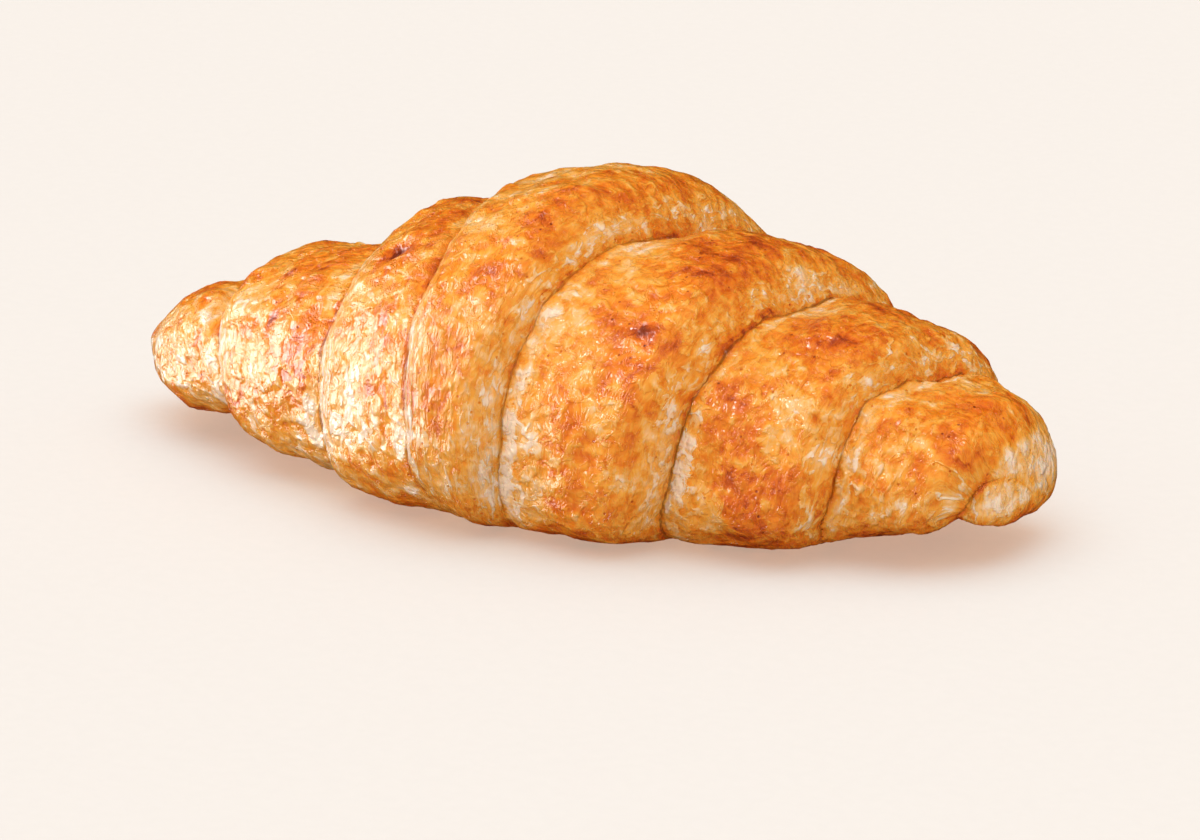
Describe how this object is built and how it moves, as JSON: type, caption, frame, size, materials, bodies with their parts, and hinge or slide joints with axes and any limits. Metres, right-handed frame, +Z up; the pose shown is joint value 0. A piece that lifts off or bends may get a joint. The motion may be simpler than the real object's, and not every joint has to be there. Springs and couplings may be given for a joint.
{
  "type": "croissant",
  "caption": "Whole baked croissant, a straight tapered roll of laminated dough with stepped spiral lips, blunt tips and a flat underside.",
  "frame": {"origin": "bottom centre of the croissant's box, on the plane it rests on", "axes": "+X along the roll towards the tip with the pale stub, -Y to the face the picture shows, +Z up"},
  "size_m": [0.1598, 0.0844, 0.0497],
  "materials": {
    "golden_crust": "egg-washed baked crust, mottled golden to dark amber, soft sheen"
  },
  "bodies": {
    "root": {"croissant": "golden_crust"}
  },
  "joints": []
}
